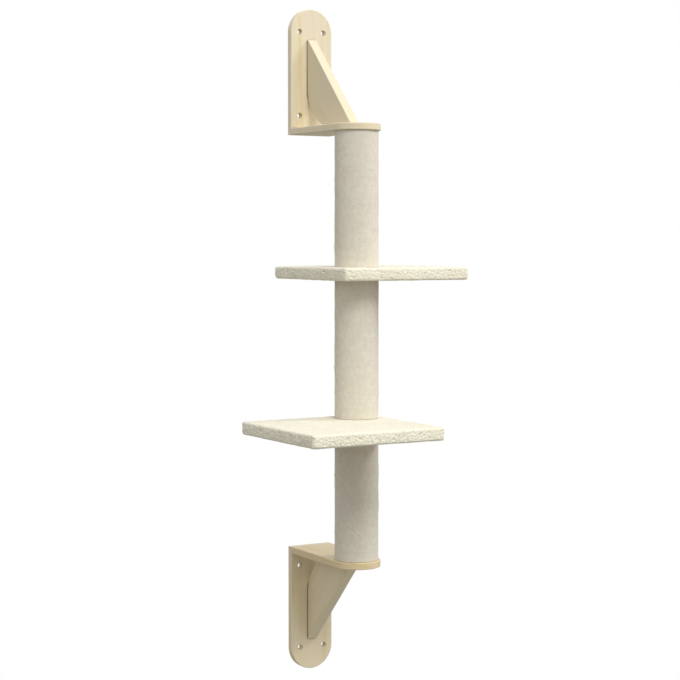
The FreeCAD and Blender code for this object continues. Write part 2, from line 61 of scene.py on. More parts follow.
POST_RADIUS = 34.5 * MM             # over the sisal
POST_AXIS_Y = -155 * MM
SISAL_INSIDE = 32.6 * MM            # just clear of the cardboard
WARPS = 60                          # upright yarns round the post
WEFT_PITCH = 3.5 * MM               # from one horizontal yarn to the next
POINTS_PER_YARN = 5                 # of the mesh, across each yarn
YARN_RELIEF = 0.26 * MM             # a yarn's back over the gap beside it
YARN_CROSSING = 0.10 * MM           # rise and fall where the yarns cross
WARP_SHARE = 0.8                    # height of an upright yarn's back against a horizontal one's
YARN_MIDDLE = 0.72                  # the weave's height that lies at POST_RADIUS
YARN_UNEVEN = 0.22                  # share by which a row is thicker or thinner here and there
UNEVEN_SIZE = 3.4 * MM              # of those stretches, from row to row
UNEVEN_ROUND = 0.12                 # and how much slower they change round the post
CLOTH_DRIFT = 0.28 * MM             # slow unevenness of the glued cloth
CLOTH_DRIFT_SIZE = 17 * MM
ROW_DRIFT = 1.1 * MM                # how far the yarns wander off a straight line
WEFT_WANDER_SIZE = 26 * MM
WARP_WANDER_SIZE = 19 * MM
SEAM_DEPTH = 0.8 * MM               # the butt joint at the back
SEAM_WIDTH = 0.9 * MM
SEAM_CALM = 6 * MM                  # beside the seam, where the cloth is pulled even
END_ROUNDING = 0.4 * MM             # where the cut end of the cloth is pushed in

HAIRS_PER_POST = 34                 # single sisal fibres that have worked loose
HAIR_RADIUS = 0.2 * MM              # coarser than a real one, whose 0.1 mm wouldn't show
HAIR_THICKNESS = (0.5, 1.5)         # thinnest and thickest, against that radius
HAIR_TAPER = 0.4                    # the power that half a sine wave is raised to, to thin its ends
HAIR_LENGTHS = (10, 60)             # shortest and longest fibre, in mm
HAIR_LOOSE = (0.4, 1)               # the share of its fibre that has worked loose
HAIR_LEAN = 0.9                     # radians off upright to either side, at most
HAIR_BOW, HAIR_CURL = 0.12, 0.1     # how far it strays from straight, at most, against its length
HAIR_ROOT = 0.05 * MM               # how far its ends stand off the cloth
HAIR_LIFTS = (0.1, 1.2)             # and how much further its middle does, in mm
HAIR_CLEAR = 6 * MM                 # from a hair to the cloth's ends
HAIR_DEPTH = 3.0                    # tells a hair from the weave, whose depth stays under 2
HAIR_RINGS, HAIR_SIDES = 15, 5      # points along a hair and round it, first and last counted

PLUSH_THICKNESS = 2.5 * MM
PLUSH_CORNER = 4 * MM               # rounding of the upright corners
PLUSH_EDGE = 3.2 * MM               # rounding along the top and bottom
PLUSH_FOLD = 22 * MM                # turned under the board
PLUSH_LINING_GAP = 0.15 * MM        # between the cloth's back and the board
PLUSH_STEP = 1.0 * MM               # of the mesh
NOTCH_RADIUS = 35 * MM              # cut in the fold round the post below
SIDE_BULGE = 0.5 * MM               # the side's middle against its edges
CUT_EDGE_BULGE = 0.6 * MM           # of the fold's cut edge
EDGE_ROWS = 7                       # of the mesh, round the top and the bottom edge
FOLD_ROWS = 15                      # across the fold
SIDE_ROWS = 20                      # up the side
FOLDS_TRIED = 120                   # between no fold and the whole one, beside the notch

CURL_SIZE = 3.8 * MM                # from one tuft of pile to the next
CURL_HEIGHT = 1.8 * MM
CURL_REACH = 0.85                   # a tuft ends where the square of the way to it is this
CURL_MIDDLE = 0.55                  # a tuft's height that lies on the cover's own surface
FINE_CURLS = 0.55                   # size of the small tufts among them, against CURL_SIZE
FINE_SHARE = 0.3                    # and how much of the height is theirs
PILE_DRIFT = 0.3                    # slow unevenness of the pile, against CURL_HEIGHT
PILE_DRIFT_SIZE = 14 * MM
TOP_CURLS = 0.55                    # how high the trodden pile on top stands, against the sides
UNDER_CURLS = 0.45                  # and the pile underneath
UNDER_POST = 0.3 * MM               # how far the post's end presses the pile down
UNDER_STAPLE = 0.9 * MM             # how far a staple presses it in
PRESS_REACH = 4 * MM                # how far beside a post or a staple the pile is still pressed
TURNED = 0.5                        # upright part of a normal past which the pile is top or underside
LYING = 0.99                        # and past which the cloth lies flat on the board

SEED = 20                           # of all the random shapes
CELLS = 48                          # random values along each side of a noise's block
WELD = 1e-6                         # points nearer than this are one point


# ---------------------------------------------------------------------------- noise and meshes

def drift(points, size, rng):
    """A smooth random field from -1 to 1. Each corner of a lattice of cubes of that size has a
    random value, and a point takes the mean of its cube's eight, weighed by an eased distance."""
    values = rng.uniform(-1, 1, (CELLS, CELLS, CELLS))
    cell = np.floor(points / size).astype(int)
    along = points / size - cell
    along = along * along * (3 - 2 * along)
    total = np.zeros(len(points))
    for corner in np.ndindex(2, 2, 2):
        weight = np.prod(np.where(corner, along, 1 - along), axis=1)
        total += weight * values[tuple(((cell + corner) % CELLS).T)]
    return total


def curls(points, size, rng):
    """Round tufts, from 0 in the creases between them to 1 on top. Each cube of a lattice holds
    one tuft at a random place. The height is 1 less the square of the way to the nearest one, in
    cubes, over the tufts' reach."""
    centres = rng.random((CELLS, CELLS, CELLS, 3))
    cell = np.floor(points / size).astype(int)
    nearest = np.full(len(points), np.inf)
    for step in np.ndindex(3, 3, 3):
        near = cell + step - 1
        centre = near + centres[tuple((near % CELLS).T)]
        nearest = np.minimum(nearest, np.sum((points / size - centre) ** 2, axis=1))
    return np.clip(1 - nearest / CURL_REACH, 0, 1)


def eased(value, low, high):
    """From 0 at low to 1 at high, with level ends."""
    share = np.clip((value - low) / (high - low), 0, 1)
    return share * share * (3 - 2 * share)


def grid_faces(rows, columns, first=0):
    """The four corners of each cell of a grid whose points are numbered row by row."""
    corner = first + np.arange((rows - 1) * columns).reshape(rows - 1, columns)[:, :-1].ravel()
    return np.stack([corner, corner + 1, corner + columns + 1, corner + columns], axis=1)


def mesh_piece(name, grids, finish, stands_for):
    """One closed mesh from grids of points, each rows x columns x 3 with its cloth coordinates
    and the depth that its finish reads, which is 0 in the creases and grows outwards. Points that
    meet become one point, which closes the seams, and a face that this leaves with less than
    three corners is dropped."""
    points = np.concatenate([grid.reshape(-1, 3) for grid, _, _ in grids])
    cloth = np.concatenate([uv.reshape(-1, 2) for _, uv, _ in grids])
    depth = np.concatenate([part.ravel() for _, _, part in grids])
    starts = np.cumsum([0] + [grid.shape[0] * grid.shape[1] for grid, _, _ in grids])
    quads = np.concatenate([grid_faces(grid.shape[0], grid.shape[1], start)
                            for (grid, _, _), start in zip(grids, starts)])
    corners = np.concatenate([quads[:, [0, 1, 2]], quads[:, [0, 2, 3]]])
    _, kept, same = np.unique(np.round(points / WELD), axis=0, return_index=True,
                              return_inverse=True)
    faces = same.reshape(-1)[corners]
    whole = ((faces[:, 0] != faces[:, 1]) & (faces[:, 1] != faces[:, 2])
             & (faces[:, 2] != faces[:, 0]))
    faces, corners = faces[whole], corners[whole]
    mesh = bpy.data.meshes.new(name)
    mesh.vertices.add(len(kept))
    mesh.vertices.foreach_set("co", points[kept].ravel())
    mesh.loops.add(faces.size)
    mesh.loops.foreach_set("vertex_index", faces.ravel())
    mesh.polygons.add(len(faces))
    mesh.polygons.foreach_set("loop_start", np.arange(0, faces.size, 3))
    mesh.polygons.foreach_set("use_smooth", np.ones(len(faces), bool))
    mesh.uv_layers.new(name="cloth").data.foreach_set("uv", cloth[corners.ravel()].ravel())
    mesh.attributes.new("depth", "FLOAT", "POINT").data.foreach_set("value", depth[kept])
    mesh.update(calc_edges=True)
    mesh.materials.append(finish)
    piece = bpy.data.objects.new(name, mesh)
    bpy.context.scene.collection.objects.link(piece)
    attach(piece, BODY)
    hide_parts(stands_for)
    return piece


# ---------------------------------------------------------------------------- woven sisal

def weave(round_post, up_post):
    """Height of a plain weave at a place given in yarns, where 1 is the yarns' relief. Each yarn
    is a half round ridge that rises and falls by half a wave at each crossing, upright and
    horizontal yarns in turn on top, and the higher of the two shows."""
    warp, weft = np.floor(round_post), np.floor(up_post)
    over_weft = np.cos(np.pi * (round_post - 0.5)) * np.where(weft % 2, -1, 1)
    over_warp = -np.cos(np.pi * (up_post - 0.5)) * np.where(warp % 2, -1, 1)
    weft_back = np.sqrt(np.clip(1 - (2 * (up_post - weft) - 1) ** 2, 0, 1))
    warp_back = np.sqrt(np.clip(1 - (2 * (round_post - warp) - 1) ** 2, 0, 1))
    lift = YARN_CROSSING / YARN_RELIEF
    return np.maximum(weft_back + lift * over_weft, WARP_SHARE * warp_back + lift * over_warp)


def loose_hairs(axis, low, high, rng):
    """Loose sisal hairs, as thin tubes tapered to nothing at both ends. A hair runs over the cloth
    in a shallow S: its way round and its height grow with the share of its length, a bow is half
    a sine wave of that share and a curl a whole one. Its lift off the cloth is half a sine wave
    too, to the power of 1.5. A ring of points is carried along that path."""
    share = np.linspace(0, 1, HAIR_RINGS)
    sides = np.linspace(0, 2 * np.pi, HAIR_SIDES)
    half_wave, whole_wave = np.sin(np.pi * share), np.sin(2 * np.pi * share)
    hairs = []
    for _ in range(HAIRS_PER_POST):
        length = rng.uniform(*HAIR_LENGTHS) * MM * rng.uniform(*HAIR_LOOSE)
        lean, bow, curl = (rng.uniform(-most, most) for most in (HAIR_LEAN, HAIR_BOW, HAIR_CURL))
        turn = (rng.uniform(0, 2 * np.pi) + length / POST_RADIUS
                * (share * np.sin(lean) + bow * half_wave + curl * whole_wave))
        up = (rng.uniform(low + HAIR_CLEAR, high - HAIR_CLEAR - length)
              + length * (share * np.cos(lean) + curl * whole_wave))
        lift = rng.uniform(*HAIR_LIFTS) * MM * half_wave ** 1.5 + HAIR_ROOT
        outward = np.stack([-np.sin(turn), np.cos(turn), 0 * turn], axis=1)
        path = axis + outward * (POST_RADIUS + lift)[:, None] + np.array([0, 0, 1]) * up[:, None]
        across = np.cross(np.gradient(path, axis=0), outward)
        across /= np.linalg.norm(across, axis=1)[:, None]
        thick = HAIR_RADIUS * rng.uniform(*HAIR_THICKNESS) * half_wave[:, None, None] ** HAIR_TAPER
        ring = (np.cos(sides)[None, :, None] * outward[:, None]
                + np.sin(sides)[None, :, None] * across[:, None])
        hair = path[:, None] + thick * ring
        hairs.append((hair, hair[..., [0, 2]], np.full(hair.shape[:2], HAIR_DEPTH)))
    return hairs


def sisal_sleeve(which, finish, rng):
    """Woven sisal glued round one tube. Its outside is a cylinder whose radius carries the weave,
    a slow unevenness and the seam at the back, pushed in at both cut ends. Its inside is a plain
    cylinder, and a ring at each end joins the two."""
    node = which + "_post_sisal"
    low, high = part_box(node)
    axis = np.array([(low.x + high.x) / 2, (low.y + high.y) / 2, 0])
    length = high.z - low.z
    columns = WARPS * POINTS_PER_YARN + 1
    rows = int(round(length / WEFT_PITCH)) * POINTS_PER_YARN + 1
    turn = np.linspace(0, 2 * np.pi, columns)[None, :]
    height = np.linspace(low.z, high.z, rows)[:, None]
    outward = np.stack(np.broadcast_arrays(-np.sin(turn), np.cos(turn), 0 * height), axis=-1)
    upward = np.stack(np.broadcast_arrays(0 * turn, 0 * turn, height), axis=-1)
    at = (outward * POST_RADIUS + upward).reshape(-1, 3)

    def spread(places, size):
        """A smooth random field over the sleeve's grid."""
        return drift(places, size, rng).reshape(rows, columns)

    wander = spread(at, WEFT_WANDER_SIZE) * ROW_DRIFT
    lean = spread(at, WARP_WANDER_SIZE) * ROW_DRIFT
    thick = 1 + YARN_UNEVEN * spread(at * (UNEVEN_ROUND, UNEVEN_ROUND, 1), UNEVEN_SIZE)
    slow = spread(at, CLOTH_DRIFT_SIZE) * CLOTH_DRIFT
    arc = turn * POST_RADIUS
    from_seam = np.minimum(arc, 2 * np.pi * POST_RADIUS - arc)
    calm = eased(from_seam, 0, SEAM_CALM)
    depth = weave((arc + lean * calm) / (2 * np.pi * POST_RADIUS) * WARPS,
                  (height - low.z + wander) / WEFT_PITCH) * thick
    seam = SEAM_DEPTH * np.exp(-(from_seam / SEAM_WIDTH) ** 2)
    from_end = np.minimum(height - low.z, high.z - height)
    tucked = END_ROUNDING * (1 - eased(from_end, 0, 2 * END_ROUNDING))
    radius = POST_RADIUS + YARN_RELIEF * (depth - YARN_MIDDLE) + slow * calm - seam - tucked
    outside = axis + outward * radius[..., None] + upward
    inside = axis + outward * SISAL_INSIDE + upward
    cloth = np.stack(np.broadcast_arrays(arc, height - low.z), axis=-1)
    bare = np.zeros((2, columns))
    grids = [
        (outside, cloth, depth),
        (inside[[-1, 0]], cloth[[-1, 0]], bare),
        (np.stack([inside[0], outside[0]]), cloth[[0, 0]], bare),
        (np.stack([outside[-1], inside[-1]]), cloth[[-1, -1]], bare),
    ] + loose_hairs(axis, low.z, high.z, rng)
    sleeve = mesh_piece(which + "_sisal_cloth", grids, finish, node)


# ---------------------------------------------------------------------------- plush

def staple_boxes(node):
    """Lowest and highest corners, in plan, of each staple's crown: a face on the crown's underside
    reaches from one end of it to the other."""
    mesh = frame["nodes"][node].data
    points = np.zeros(len(mesh.vertices) * 3)
    mesh.vertices.foreach_get("co", points)
    corners = np.zeros(len(mesh.polygons) * 3, int)
    mesh.polygons.foreach_get("vertices", corners)
    faces = points.reshape(-1, 3)[corners].reshape(-1, 3, 3)
    under = faces[np.all(faces[:, :, 2] < points[2::3].min() + WELD, axis=1)][:, :, :2]
    return under.min(axis=1), under.max(axis=1)


def near_staples(plan, node):
    """Way from each point in plan to the nearest staple's crown."""
    low, high = staple_boxes(node)
    apart = np.maximum(0, np.maximum(low - plan[..., None, :], plan[..., None, :] - high))
    return np.linalg.norm(apart, axis=-1).min(axis=-1)


def plush_outline(low, high):
    """The platform's outline as a walk round the rectangle of its corners' centres, with the way
    outwards at each step. At a corner the walk stands still and the way outwards turns."""
    x0, y0, x1, y1 = (low.x + PLUSH_CORNER, low.y + PLUSH_CORNER,
                      high.x - PLUSH_CORNER, high.y - PLUSH_CORNER)
    count = int(round((x1 - x0) / PLUSH_STEP)) + 1
    turns = int(round(PLUSH_CORNER * math.pi / 2 / PLUSH_STEP))
    corners = np.array([(x0, y0), (x1, y0), (x1, y1), (x0, y1)])
    walk, ways = [], []
    for side in range(4):
        share = np.linspace(0, 1, count)[:, None]
        start, end = corners[side], corners[(side + 1) % 4]
        walk += [start + share * (end - start), np.tile(end, (turns - 1, 1))]
        face = (side - 1) * math.pi / 2
        bend = face + np.linspace(0, math.pi / 2, turns + 1)[1:-1]
        angle = np.concatenate([np.full(count, face), bend])
        ways += [np.stack([np.cos(angle), np.sin(angle)], axis=1)]
    walk, ways = np.concatenate(walk), np.concatenate(ways)
    return (np.concatenate([walk, walk[:1]]), np.concatenate([ways, ways[:1]]),
            (x0, y0, x1, y1), count)


def inset(walk, ways, rectangle, depth):
    """The outline moved inwards by a depth: the walk kept inside the rectangle moved in as far,
    and what is left of the corner's rounding added outwards."""
    x0, y0, x1, y1 = rectangle
    more = np.maximum(depth - PLUSH_CORNER, 0)
    x = np.clip(walk[:, 0], x0 + more, x1 - more)
    y = np.clip(walk[:, 1], y0 + more, y1 - more)
    left = np.maximum(PLUSH_CORNER - depth, 0)
    return np.stack([x, y], axis=-1) + left[..., None] * ways


def carried(walk, ways, rectangle, ins, ups, pushes=None):
    """A profile carried round the outline, as a grid. Each of its places has a depth inwards all
    along the walk, a level and, where pushes are given, a way outwards."""
    pushes = np.zeros(len(ups)) if pushes is None else pushes
    return np.stack([np.concatenate([inset(walk, ways, rectangle, depth) + ways * push,
                                     np.full((len(walk), 1), up)], axis=1)
                     for depth, up, push in zip(ins, ups, pushes)])


def fold_width(walk, ways, rectangle, axis):
    """How far the plush is turned under at each step of the outline: by the whole fold, or less
    where that would bring it within the notch's radius of the post."""
    tried = np.linspace(PLUSH_EDGE, PLUSH_FOLD, FOLDS_TRIED)
    clear = [np.linalg.norm(inset(walk, ways, rectangle, np.full(len(walk), depth)) - axis,
                            axis=1) > NOTCH_RADIUS for depth in tried]
    return tried[np.argmin(np.stack(clear + [np.zeros(len(walk), bool)]), axis=0) - 1]


def piled(points, normals, which, axis, seeds):
    """The points moved along their normals by the pile, and how high each one stands from 0 to 1.
    The height is that of tufts in two sizes and a slow drift. It is lower on top and underneath,
    nothing where the post stands, and pressed in round the staples."""
    coarse, fine, slow = (np.random.default_rng(seed) for seed in seeds)
    places = points.reshape(-1, 3)
    height = ((1 - FINE_SHARE) * curls(places, CURL_SIZE, coarse)
              + FINE_SHARE * curls(places, FINE_CURLS * CURL_SIZE, fine)).reshape(points.shape[:2])
    uneven = drift(places, PILE_DRIFT_SIZE, slow).reshape(points.shape[:2])
    upward = normals[..., 2]
    tall = np.select([upward > TURNED, upward < -TURNED], [TOP_CURLS, UNDER_CURLS], 1.0)
    from_axis = np.linalg.norm(points[..., :2] - axis, axis=-1)
    from_staple = near_staples(points[..., :2], which + "_platform_staples")
    under_post = np.where(upward > LYING,
                          1 - eased(from_axis, POST_RADIUS, POST_RADIUS + PRESS_REACH), 0)
    stapled = np.where(upward < -LYING, 1 - eased(from_staple, 0, PRESS_REACH), 0)
    push = CURL_HEIGHT * tall * (height - CURL_MIDDLE + PILE_DRIFT * uneven)
    push = (push * (1 - under_post) * (1 - stapled)
            - UNDER_POST * under_post - UNDER_STAPLE * stapled)
    return points + normals * push[..., None], 1 - (1 - height) * tall


def plush_cover(which, finish, rng):
    """Plush stretched over one board, glued down and turned under its edges. A profile is carried
    round the outline: from the fold's cut edge outwards below the board, round the bottom edge,
    up the side, round the top edge, and in to a flat patch on top. The back of the cloth follows
    the board in the same way, and a bulged strip joins the two at the cut edge. The outside then
    moves along its normals by the pile."""
    node = which + "_platform_cover"
    low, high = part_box(node)
    post_low, post_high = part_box("middle_post_sisal")
    axis = np.array([(post_low.x + post_high.x) / 2, (post_low.y + post_high.y) / 2])
    seeds = rng.integers(1 << 30, size=3)
    walk, ways, rectangle, count = plush_outline(low, high)
    fold = fold_width(walk, ways, rectangle, axis)

    # The profile: how far in, how high, and the normal's outward and upward parts.
    quarter = np.linspace(0, math.pi / 2, EDGE_ROWS)
    flat = np.linspace(1, 0, FOLD_ROWS)[:-1]
    side = np.linspace(0, 1, SIDE_ROWS)[1:-1]
    straight = high.z - low.z - 2 * PLUSH_EDGE
    under_in = [PLUSH_EDGE + (fold - PLUSH_EDGE) * share for share in flat]
    bend_in = PLUSH_EDGE * (1 - np.sin(quarter))
    bend_up = PLUSH_EDGE * (1 - np.cos(quarter))
    ins = under_in + [np.full(len(walk), depth) for depth in
                      (*bend_in, *(0 * side), *bend_in[::-1], PLUSH_CORNER)]
    ups = np.concatenate([np.full(len(flat), low.z), low.z + bend_up,
                          low.z + PLUSH_EDGE + straight * side, high.z - bend_up[::-1], [high.z]])
    normal_out = np.concatenate([0 * flat, np.sin(quarter), side ** 0, np.sin(quarter)[::-1], [0]])
    normal_up = np.concatenate([0 * flat - 1, -np.cos(quarter), 0 * side,
                                np.cos(quarter)[::-1], [1]])
    from_middle = (2 * ups - low.z - high.z) / (high.z - low.z)
    band = carried(walk, ways, rectangle, ins, ups, SIDE_BULGE * normal_out * (1 - from_middle ** 2))
    band_normal = np.stack([np.concatenate([ways * out, np.full((len(walk), 1), up)], axis=1)
                            for out, up in zip(normal_out, normal_up)])
    x0, y0, x1, y1 = rectangle
    top = np.stack(np.broadcast_arrays(np.linspace(x0, x1, count)[None, :],
                                       np.linspace(y0, y1, count)[:, None], high.z), axis=-1)
    top_normal = np.broadcast_to((0.0, 0.0, 1.0), top.shape)
    band, band_depth = piled(band, band_normal, which, axis, seeds)
    top, top_depth = piled(top, top_normal, which, axis, seeds)

    # The back of the cloth, just clear of the board, closes to a point over the board's middle.
    inner = PLUSH_THICKNESS - PLUSH_LINING_GAP
    middle = (high.x - low.x) / 2
    back_ins = [fold, 0.5 * (fold + inner), *[np.full(len(walk), depth) for depth in
                (inner, inner, PLUSH_CORNER, 0.2 * middle, 0.6 * middle, middle)]]
    back = carried(walk, ways, rectangle, back_ins, [low.z + inner] * 3 + [high.z - inner] * 5)
    cut_edge = 0.5 * (back[0] + band[0])
    cut_edge[:, :2] -= CUT_EDGE_BULGE * ways
    rim = np.stack([back[0], cut_edge, band[0]])

    def cloth(points):
        """Cloth coordinates: the place in plan, with the height added on both axes."""
        return points[..., :2] + points[..., 2:]

    grids = [(grid, cloth(grid), depth) for grid, depth in (
        (band, band_depth), (top, top_depth),
        (back[:, ::-1], np.zeros(back.shape[:2])), (rim, np.zeros(rim.shape[:2])))]
    cover = mesh_piece(which + "_plush", grids, finish, node)


# ---------------------------------------------------------------------------- finishes

def colour(hex_value):
    """An sRGB hex value as a linear colour with alpha."""
    parts = [int(hex_value[at:at + 2], 16) / 255 for at in (1, 3, 5)]
    return (*[part / 12.92 if part <= 0.04045 else ((part + 0.055) / 1.055) ** 2.4
              for part in parts], 1)


def add(tree, kind, inputs=(), **settings):
    """A node of that kind with its own settings. Each input is a plain value, a colour as a hex
    value, or the node or output that feeds it."""
    node = tree.nodes.new("ShaderNode" + kind)
    for name, value in settings.items():
        setattr(node, name, value)
    for socket, value in dict(inputs).items():
        if isinstance(value, bpy.types.Node):
            value = value.outputs[0]
        if isinstance(value, bpy.types.NodeSocket):
            tree.links.new(value, node.inputs[socket])
        else:
            node.inputs[socket].default_value = colour(value) if isinstance(value, str) else value
    return node


def empty_finish(name):
    """A new material with an empty node tree, and its output."""
    material = bpy.data.materials.new(name)
    material.use_nodes = True
    material.node_tree.nodes.clear()
    return material, material.node_tree, add(material.node_tree, "OutputMaterial")


def tinted(tree, under, tint, mask, start, end, most=1.0):
    """A tint laid over a colour by a mask: none of it at start, and its full strength at end. The
    Mix node's inputs 0, 6 and 7 are its share and its two colours."""
    amount = add(tree, "MapRange", {"Value": mask, "From Min": start, "From Max": end,
                                    "To Min": 0.0, "To Max": most})
    return add(tree, "Mix", {0: amount, 6: under, 7: tint}, data_type="RGBA").outputs[2]


def surface_of(material, tree, out, base, relief, inputs):
    """The shader of a finish, with its base colour and, from the deepest layer up, its relief as
    heights with their depth in metres and strength."""
    normal = None
    for height, depth, strength in relief:
        bump = {"Height": height, "Distance": depth, "Strength": strength}
        normal = add(tree, "Bump", bump | ({"Normal": normal} if normal else {}))
    surface = add(tree, "BsdfPrincipled", {"Base Color": base, "Normal": normal} | inputs)
    tree.links.new(surface.outputs[0], out.inputs["Surface"])
    return material


def wave_scale(spacing):
    """The scale at which a Wave Texture's bands are that far apart, in metres: its sine turns by
    20 radians along one unit."""
    return 2 * math.pi / 20 / spacing


RING_SPACING = 7.0 * MM             # of the pine's growth rings where the saw meets them aslant
RING_BEND = 18 * MM                 # how far the trunk's rings stray from circles
PINE_FIBRE = 0.55 * MM              # a bundle: single fibres of 0.03 mm wouldn't show
STREAK_MIDDLE, STREAK_EDGE = 1 * MM, 5 * MM     # half widths of the resinous streak
JOINT_REACH = 5 * MM                # how far the painted joint shade looks for a surface from the wood beside it
COARSE_FIBRE = 0.6 * MM             # of plywood and paper, coarser than real ones so that they show
VENEER_PAIR = 3.0 * MM              # two veneers of the plywood
STRIP_WIDTH = 75 * MM               # of the tube's outer paper
LATHE_MARK = 0.35 * MM              # coarser than the real feed of 0.1 mm, which wouldn't show
ZINC_MARK = 0.4 * MM                # coarser than the real drawing marks, as well


def pine(board, grain, heart, warmth, streak, joint_shade):
    """Scandinavian pine, planed, sanded and matt lacquered: creamy white, with soft yellow growth
    rings that a flat sawn board shows as long faint streaks, and a silky low gloss. grain turns
    the trunk's axis from Z onto the board's, heart is where the middle of the trunk lies, warmth
    from 0 to 1 tells a whiter board from a yellower one, and on the lower boards also stands in
    partly for painted shade, streak is where on X one resinous yellow streak runs, and the last
    argument is how dark the painted shade from ambient occlusion is in the last millimetre beside
    a joint."""
    material, tree, out = empty_finish("sanded_pine_" + board)
    place = add(tree, "TexCoord").outputs["Object"]
    trunk = add(tree, "Mapping", {"Vector": place, "Location": heart, "Rotation": grain})

    def drawn_out(length):
        """The place in the trunk with marks drawn out that many times along the grain."""
        return add(tree, "VectorMath", {0: trunk, 1: (1, 1, length)}, operation="DIVIDE")

    wander = add(tree, "TexNoise", {"Vector": drawn_out(4), "Scale": 1 / (80 * MM),
                                    "Detail": 1.0}).outputs["Color"]
    bent = add(tree, "VectorMath", {0: wander, 1: (RING_BEND, RING_BEND, 0), 2: trunk},
               operation="MULTIPLY_ADD")
    rings = add(tree, "TexWave", {"Vector": bent, "Scale": wave_scale(RING_SPACING)},
                wave_type="RINGS", rings_direction="Z", wave_profile="SIN").outputs["Fac"]
    sharp = add(tree, "Math", {0: rings, 1: 2.0}, operation="POWER")
    patch = add(tree, "TexNoise", {"Vector": drawn_out(6), "Scale": 1 / (16 * MM)})
    shown = add(tree, "MapRange", {"Value": patch, "From Min": 0.38, "From Max": 0.75,
                                   "To Min": 0.05, "To Max": 0.6})
    late = add(tree, "Math", {0: sharp, 1: shown}, operation="MULTIPLY")
    fibre = add(tree, "TexNoise", {"Vector": drawn_out(40), "Scale": 1 / PINE_FIBRE,
                                   "Detail": 3.0})
    white = tinted(tree, "#E4DAC0", "#DBCB9E", late, 0.0, 1.0)
    yellow = tinted(tree, "#DAC79C", "#C6AA70", late, 0.0, 1.0)
    wood = tinted(tree, white, yellow, warmth, 0.0, 1.0)
    wood = tinted(tree, wood, "#D3C298", fibre, 0.35, 0.75, 0.2)
    pink = add(tree, "TexNoise", {"Vector": drawn_out(3), "Scale": 1 / (30 * MM), "Detail": 1.0})
    wood = tinted(tree, wood, "#E2D0B8", pink, 0.45, 0.7, 0.35)

    # The wander's noise is a half on average, so the bent places lie half of RING_BEND further on.
    across = add(tree, "SeparateXYZ", {0: bent})
    streak_place = streak + heart[0] + RING_BEND / 2
    aside = add(tree, "Math", {0: across, 1: streak_place}, operation="SUBTRACT")
    beside = add(tree, "Math", {0: aside}, operation="ABSOLUTE")
    near = add(tree, "MapRange", {"Value": beside, "From Min": STREAK_MIDDLE,
                                  "From Max": STREAK_EDGE, "To Min": 0.6, "To Max": 0.0})
    broken = add(tree, "MapRange", {"Value": patch, "From Min": 0.35, "From Max": 0.65,
                                    "To Min": 0.45, "To Max": 1.0})
    resin = add(tree, "Math", {0: near, 1: broken}, operation="MULTIPLY")
    wood = tinted(tree, wood, "#DCC684", resin, 0.0, 1.0)

    ducts = add(tree, "TexNoise", {"Vector": drawn_out(12), "Scale": 1 / (0.8 * MM),
                                   "Detail": 0.0})
    wood = tinted(tree, wood, "#BFA06C", ducts, 0.76, 0.82, 0.3)
    # Painted shade: ambient occlusion darkens the wood in the last millimetre beside a joint, where
    # the boards meet and shade falls.
    joint = add(tree, "AmbientOcclusion", {"Distance": JOINT_REACH}, samples=8).outputs["AO"]
    wood = tinted(tree, wood, "#4C3E24", joint, 0.74, 0.5, joint_shade)
    gloss = add(tree, "MapRange", {"Value": fibre, "To Min": 0.42, "To Max": 0.58})
    return surface_of(material, tree, out, wood, [(fibre, 0.03 * MM, 0.6), (late, 0.05 * MM, 0.4)],
                      {"Roughness": gloss, "IOR": 1.5, "Coat Weight": 0.1, "Coat Roughness": 0.3})


def beech():
    """Turned beech dowel: pinkish tan with short darker flecks along it."""
    material, tree, out = empty_finish("turned_beech")
    place = add(tree, "TexCoord").outputs["Object"]
    long_place = add(tree, "VectorMath", {0: place, 1: (1, 5, 5)}, operation="DIVIDE")
    flecks = add(tree, "TexNoise", {"Vector": long_place, "Scale": 1 / (0.5 * MM)})
    wood = tinted(tree, "#D9BE93", "#B98F62", flecks, 0.5, 0.7, 0.8)
    return surface_of(material, tree, out, wood, [(flecks, 0.04 * MM, 0.6)], {"Roughness": 0.55})


def plywood():
    """Sawn birch plywood: pale veneers with darker crossed ones between them on the edge, and
    long fibres on the faces."""
    material, tree, out = empty_finish("sawn_plywood")
    place = add(tree, "TexCoord").outputs["Object"]
    veneer = add(tree, "TexWave", {"Vector": place, "Scale": wave_scale(VENEER_PAIR)},
                 wave_type="BANDS", bands_direction="Z").outputs["Fac"]
    long_place = add(tree, "VectorMath", {0: place, 1: (25, 1, 1)}, operation="DIVIDE")
    fibre = add(tree, "TexNoise", {"Vector": long_place, "Scale": 1 / COARSE_FIBRE, "Detail": 3.0})
    wood = tinted(tree, "#E0C79C", "#B9905C", veneer, 0.42, 0.58)
    wood = tinted(tree, wood, "#C9A877", fibre, 0.4, 0.7, 0.5)
    return surface_of(material, tree, out, wood, [(fibre, 0.12 * MM, 1.0)], {"Roughness": 0.7})


def particle_board():
    """Raw particle board: pressed chips of many tans, coarse in the middle, with dark specks of
    bark and small pits between the chips."""
    material, tree, out = empty_finish("raw_particle_board")
    place = add(tree, "TexCoord").outputs["Object"]
    chip_place = add(tree, "VectorMath", {0: place, 1: (1, 1.8, 0.7)}, operation="DIVIDE")
    chips = add(tree, "TexVoronoi", {"Vector": chip_place, "Scale": 1 / (2.6 * MM)}, feature="F1")
    tone = add(tree, "SeparateColor", {0: chips.outputs["Color"]})
    specks = add(tree, "TexNoise", {"Vector": place, "Scale": 1 / (1.6 * MM), "Detail": 1.0})
    board = tinted(tree, "#D8BE90", "#B08A5B", tone, 0.0, 1.0)
    board = tinted(tree, board, "#75542F", specks, 0.66, 0.74, 0.8)
    return surface_of(material, tree, out, board,
                      [(chips.outputs["Distance"], 0.25 * MM, 1.0)], {"Roughness": 0.8})


